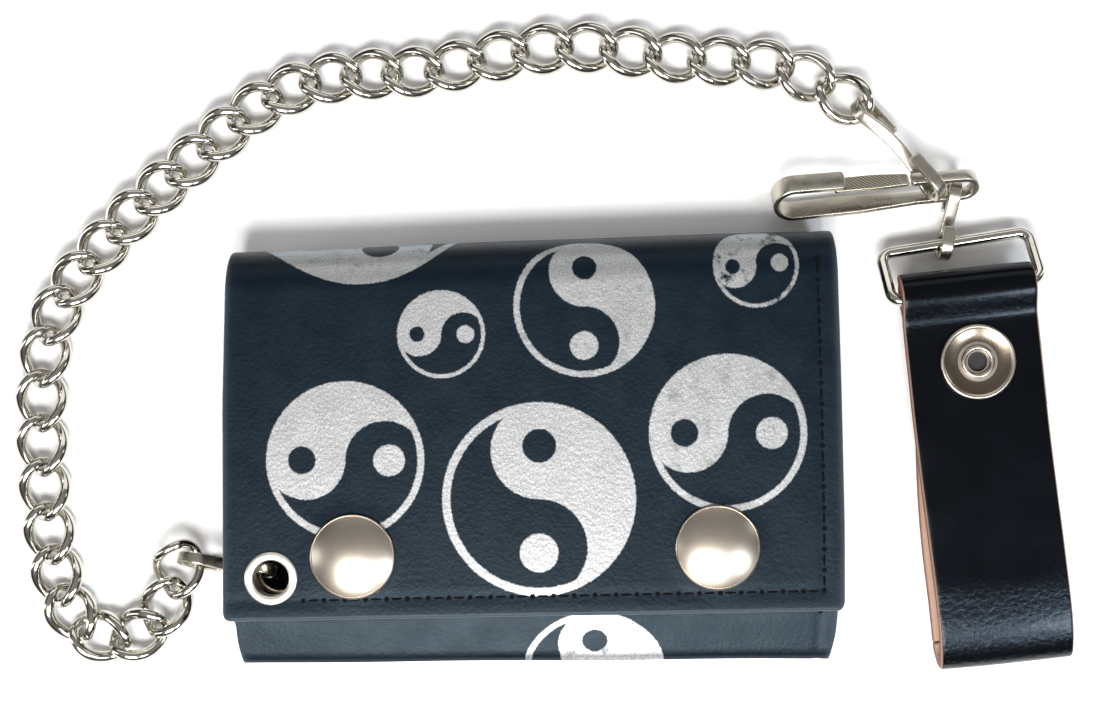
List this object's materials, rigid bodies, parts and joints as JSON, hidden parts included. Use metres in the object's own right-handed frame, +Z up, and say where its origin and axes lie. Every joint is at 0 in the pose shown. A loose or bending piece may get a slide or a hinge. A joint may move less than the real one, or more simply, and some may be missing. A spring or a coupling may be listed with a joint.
{
  "type": "chain wallet",
  "caption": "Folding leather wallet with a snap-down front flap, its curb chain, spring clip, rectangular ring and snap-closed belt strap lying beside it.",
  "frame": {"origin": "centre of the wallet's back face, which lies on the table", "axes": "+X along the wallet's width towards the belt strap, +Y towards the fold that the flap hangs from, +Z up through the flap"},
  "size_m": [0.1908, 0.1176, 0.0182],
  "materials": {
    "shell_leather": "black grained leather printed with worn silver figures",
    "lining_leather": "matt black lining",
    "strap_leather": "glossy black with a tan flesh side",
    "nickel": "bright nickel plate"
  },
  "bodies": {
    "wallet_back": {"back_panel": "shell_leather", "inner_panel": "lining_leather", "card_pocket": "lining_leather", "body_grommet": "nickel", "top_fold": "shell_leather", "bottom_fold": "shell_leather"},
    "flap": {"flap_outer": "shell_leather", "flap_lining": "lining_leather", "flap_grommet": "nickel", "left_snap_cap": "nickel", "right_snap_cap": "nickel", "left_snap_socket": "nickel", "right_snap_socket": "nickel"},
    "lower_panel": {"lower_outer": "shell_leather", "lower_lining": "lining_leather", "left_snap_stud": "nickel", "right_snap_stud": "nickel"},
    "wallet_hook": {"wallet_s_hook": "nickel"},
    "link_01": {"chain_link_01": "nickel"},
    "link_02": {"chain_link_02": "nickel"},
    "link_03": {"chain_link_03": "nickel"},
    "link_04": {"chain_link_04": "nickel"},
    "link_05": {"chain_link_05": "nickel"},
    "link_06": {"chain_link_06": "nickel"},
    "link_07": {"chain_link_07": "nickel"},
    "link_08": {"chain_link_08": "nickel"},
    "link_09": {"chain_link_09": "nickel"},
    "link_10": {"chain_link_10": "nickel"},
    "link_11": {"chain_link_11": "nickel"},
    "link_12": {"chain_link_12": "nickel"},
    "link_13": {"chain_link_13": "nickel"},
    "link_14": {"chain_link_14": "nickel"},
    "link_15": {"chain_link_15": "nickel"},
    "link_16": {"chain_link_16": "nickel"},
    "link_17": {"chain_link_17": "nickel"},
    "link_18": {"chain_link_18": "nickel"},
    "link_19": {"chain_link_19": "nickel"},
    "link_20": {"chain_link_20": "nickel"},
    "link_21": {"chain_link_21": "nickel"},
    "link_22": {"chain_link_22": "nickel"},
    "link_23": {"chain_link_23": "nickel"},
    "link_24": {"chain_link_24": "nickel"},
    "link_25": {"chain_link_25": "nickel"},
    "link_26": {"chain_link_26": "nickel"},
    "link_27": {"chain_link_27": "nickel"},
    "link_28": {"chain_link_28": "nickel"},
    "link_29": {"chain_link_29": "nickel"},
    "link_30": {"chain_link_30": "nickel"},
    "link_31": {"chain_link_31": "nickel"},
    "link_32": {"chain_link_32": "nickel"},
    "link_33": {"chain_link_33": "nickel"},
    "chain_hook": {"chain_s_hook": "nickel"},
    "clip": {"clip_body": "nickel"},
    "gate": {"clip_gate": "nickel"},
    "ring_hook": {"ring_s_hook": "nickel"},
    "ring": {"strap_ring": "nickel"},
    "strap": {"belt_strap": "strap_leather", "strap_snap_stud": "nickel"},
    "strap_tail": {"belt_strap_tail": "strap_leather", "strap_snap_cap": "nickel"}
  },
  "joints": [
    {"name": "flap_fold", "type": "hinge", "parent": "wallet_back", "child": "flap", "pos_m": [0, 0.0291, 0.0077], "axis": [-1, 0, 0], "range_deg": [0, 120], "deforming": ["top_fold"]},
    {"name": "lower_fold", "type": "hinge", "parent": "wallet_back", "child": "lower_panel", "pos_m": [0, -0.03175, 0.00505], "axis": [1, 0, 0], "range_deg": [0, 62], "deforming": ["bottom_fold"]},
    {"name": "wallet_hook_turn", "type": "hinge", "parent": "wallet_back", "child": "wallet_hook", "pos_m": [-0.0458, -0.0226, 0.0058], "axis": [0, 0, 1], "range_deg": [0, 15]},
    {"name": "link_01_tilt", "type": "hinge", "parent": "wallet_hook", "child": "link_01", "pos_m": [-0.0637, -0.0186, 0.00454], "axis": [0.964, -0.2659, 0], "range_deg": [-8, 4]},
    {"name": "link_02_tilt", "type": "hinge", "parent": "link_01", "child": "link_02", "pos_m": [-0.06571, -0.02588, 0.00224], "axis": [-0.9448, 0.3277, 0], "range_deg": [-18, 18]},
    {"name": "link_03_tilt", "type": "hinge", "parent": "link_02", "child": "link_03", "pos_m": [-0.06857, -0.03272, 0.00224], "axis": [0.722, -0.6919, 0], "range_deg": [-8, 8]},
    {"name": "link_04_tilt", "type": "hinge", "parent": "link_03", "child": "link_04", "pos_m": [-0.07525, -0.03585, 0.00224], "axis": [-0.0732, 0.9973, 0], "range_deg": [-8, 8]},
    {"name": "link_05_tilt", "type": "hinge", "parent": "link_04", "child": "link_05", "pos_m": [-0.08231, -0.03373, 0.00224], "axis": [-0.6169, -0.7871, 0], "range_deg": [-8, 8]},
    {"name": "link_06_tilt", "type": "hinge", "parent": "link_05", "child": "link_06", "pos_m": [-0.08605, -0.02739, 0.00224], "axis": [0.9315, 0.3637, 0], "range_deg": [-18, 18]},
    {"name": "link_07_tilt", "type": "hinge", "parent": "link_06", "child": "link_07", "pos_m": [-0.08763, -0.02001, 0.00224], "axis": [-0.9838, -0.1793, 0], "range_deg": [-18, 18]},
    {"name": "link_08_turn", "type": "hinge", "parent": "link_07", "child": "link_08", "pos_m": [-0.08884, -0.01199, 0.00224], "axis": [0, 0, 1], "range_deg": [0, 18]},
    {"name": "link_09_tilt", "type": "hinge", "parent": "link_08", "child": "link_09", "pos_m": [-0.08941, -0.00389, 0.00224], "axis": [0.9986, 0.0527, 0], "range_deg": [-18, 18]},
    {"name": "link_10_tilt", "type": "hinge", "parent": "link_09", "child": "link_10", "pos_m": [-0.0897, 0.00422, 0.00224], "axis": [-0.9999, -0.0131, 0], "range_deg": [-18, 18]},
    {"name": "link_11_turn", "type": "hinge", "parent": "link_10", "child": "link_11", "pos_m": [-0.08962, 0.01234, 0.00224], "axis": [0, 0, 1], "range_deg": [0, 18]},
    {"name": "link_12_tilt", "type": "hinge", "parent": "link_11", "child": "link_12", "pos_m": [-0.08851, 0.02036, 0.00224], "axis": [0.9673, -0.2535, 0], "range_deg": [-18, 18]},
    {"name": "link_13_tilt", "type": "hinge", "parent": "link_12", "child": "link_13", "pos_m": [-0.08576, 0.02736, 0.00224], "axis": [-0.8745, 0.4851, 0], "range_deg": [-18, 18]},
    {"name": "link_14_turn", "type": "hinge", "parent": "link_13", "child": "link_14", "pos_m": [-0.08126, 0.03341, 0.00224], "axis": [0, 0, 1], "range_deg": [0, 18]},
    {"name": "link_15_tilt", "type": "hinge", "parent": "link_14", "child": "link_15", "pos_m": [-0.07617, 0.03899, 0.00224], "axis": [0.7283, -0.6853, 0], "range_deg": [-18, 18]},
    {"name": "link_16_tilt", "type": "hinge", "parent": "link_15", "child": "link_16", "pos_m": [-0.07092, 0.04441, 0.00224], "axis": [-0.6966, 0.7175, 0], "range_deg": [-18, 18]},
    {"name": "link_17_turn", "type": "hinge", "parent": "link_16", "child": "link_17", "pos_m": [-0.06535, 0.0495, 0.00224], "axis": [0, 0, 1], "range_deg": [0, 18]},
    {"name": "link_18_tilt", "type": "hinge", "parent": "link_17", "child": "link_18", "pos_m": [-0.05954, 0.05431, 0.00224], "axis": [0.6524, -0.7579, 0], "range_deg": [-18, 18]},
    {"name": "link_19_tilt", "type": "hinge", "parent": "link_18", "child": "link_19", "pos_m": [-0.05391, 0.05934, 0.00224], "axis": [-0.6151, 0.7884, 0], "range_deg": [-18, 18]},
    {"name": "link_20_turn", "type": "hinge", "parent": "link_19", "child": "link_20", "pos_m": [-0.04767, 0.06357, 0.00224], "axis": [0, 0, 1], "range_deg": [0, 18]},
    {"name": "link_21_tilt", "type": "hinge", "parent": "link_20", "child": "link_21", "pos_m": [-0.04073, 0.06649, 0.00224], "axis": [0.2728, -0.9621, 0], "range_deg": [-18, 18]},
    {"name": "link_22_tilt", "type": "hinge", "parent": "link_21", "child": "link_22", "pos_m": [-0.03329, 0.06765, 0.00224], "axis": [-0.1023, 0.9948, 0], "range_deg": [-18, 18]},
    {"name": "link_23_turn", "type": "hinge", "parent": "link_22", "child": "link_23", "pos_m": [-0.02575, 0.06803, 0.00224], "axis": [0, 0, 1], "range_deg": [0, 18]},
    {"name": "link_24_tilt", "type": "hinge", "parent": "link_23", "child": "link_24", "pos_m": [-0.01822, 0.06838, 0.00224], "axis": [0.1383, -0.9904, 0], "range_deg": [-18, 18]},
    {"name": "link_25_tilt", "type": "hinge", "parent": "link_24", "child": "link_25", "pos_m": [-0.01032, 0.07024, 0.00224], "axis": [-0.2207, 0.9753, 0], "range_deg": [-18, 18]},
    {"name": "link_26_turn", "type": "hinge", "parent": "link_25", "child": "link_26", "pos_m": [-0.00239, 0.07197, 0.00224], "axis": [0, 0, 1], "range_deg": [0, 18]},
    {"name": "link_27_tilt", "type": "hinge", "parent": "link_26", "child": "link_27", "pos_m": [0.00567, 0.07284, 0.00224], "axis": [0.0349, -0.9994, 0], "range_deg": [-18, 18]},
    {"name": "link_28_tilt", "type": "hinge", "parent": "link_27", "child": "link_28", "pos_m": [0.01377, 0.07253, 0.00224], "axis": [0.0972, 0.9953, 0], "range_deg": [-18, 18]},
    {"name": "link_29_turn", "type": "hinge", "parent": "link_28", "child": "link_29", "pos_m": [0.02179, 0.07127, 0.00224], "axis": [0, 0, 1], "range_deg": [0, 18]},
    {"name": "link_30_tilt", "type": "hinge", "parent": "link_29", "child": "link_30", "pos_m": [0.02984, 0.0703, 0.00224], "axis": [-0.0729, -0.9973, 0], "range_deg": [-18, 18]},
    {"name": "link_31_tilt", "type": "hinge", "parent": "link_30", "child": "link_31", "pos_m": [0.03795, 0.07009, 0.00224], "axis": [0.066, 0.9978, 0], "range_deg": [-18, 18]},
    {"name": "link_32_tilt", "type": "hinge", "parent": "link_31", "child": "link_32", "pos_m": [0.04601, 0.06923, 0.00224], "axis": [-0.2686, -0.9633, 0], "range_deg": [-12, 12]},
    {"name": "link_33_tilt", "type": "hinge", "parent": "link_32", "child": "link_33", "pos_m": [0.05332, 0.06581, 0.00224], "axis": [0.4972, 0.8677, 0], "range_deg": [-12, 12]},
    {"name": "chain_hook_tilt", "type": "hinge", "parent": "link_33", "child": "chain_hook", "pos_m": [0.06083, 0.06063, 0.0037], "axis": [-0.568, -0.823, 0], "range_deg": [-5, 12]},
    {"name": "clip_turn", "type": "hinge", "parent": "chain_hook", "child": "clip", "pos_m": [0.0709, 0.04836, 0.0067], "axis": [0, 0, -1], "range_deg": [0, 6]},
    {"name": "gate_press", "type": "hinge", "parent": "clip", "child": "gate", "pos_m": [0.06771, 0.0481, 0.0067], "axis": [0.0601, -0.7637, 0.6428], "range_deg": [0, 13], "stiffness_Nm_per_rad": 0.02},
    {"name": "ring_hook_turn", "type": "hinge", "parent": "clip", "child": "ring_hook", "pos_m": [0.07632, 0.04582, 0.00318], "axis": [0, 0, 1], "range_deg": [0, 15]},
    {"name": "ring_swing", "type": "hinge", "parent": "ring_hook", "child": "ring", "pos_m": [0.07492, 0.03677, 0.00365], "axis": [0.9877, 0.1564, 0], "range_deg": [-20, 20]},
    {"name": "strap_swing", "type": "hinge", "parent": "ring", "child": "strap", "pos_m": [0.0779, 0.0282, 0.00815], "axis": [0.9877, 0.1564, 0], "range_deg": [-35, 35]},
    {"name": "strap_tail_open", "type": "hinge", "parent": "strap", "child": "strap_tail", "pos_m": [0.08454, -0.03495, 0], "axis": [-0.9945, -0.1045, 0], "range_deg": [0, 100]}
  ],
  "couplings": [
    {"joint": "lower_fold", "follows": "flap_fold", "ratio": 0.5}
  ]
}
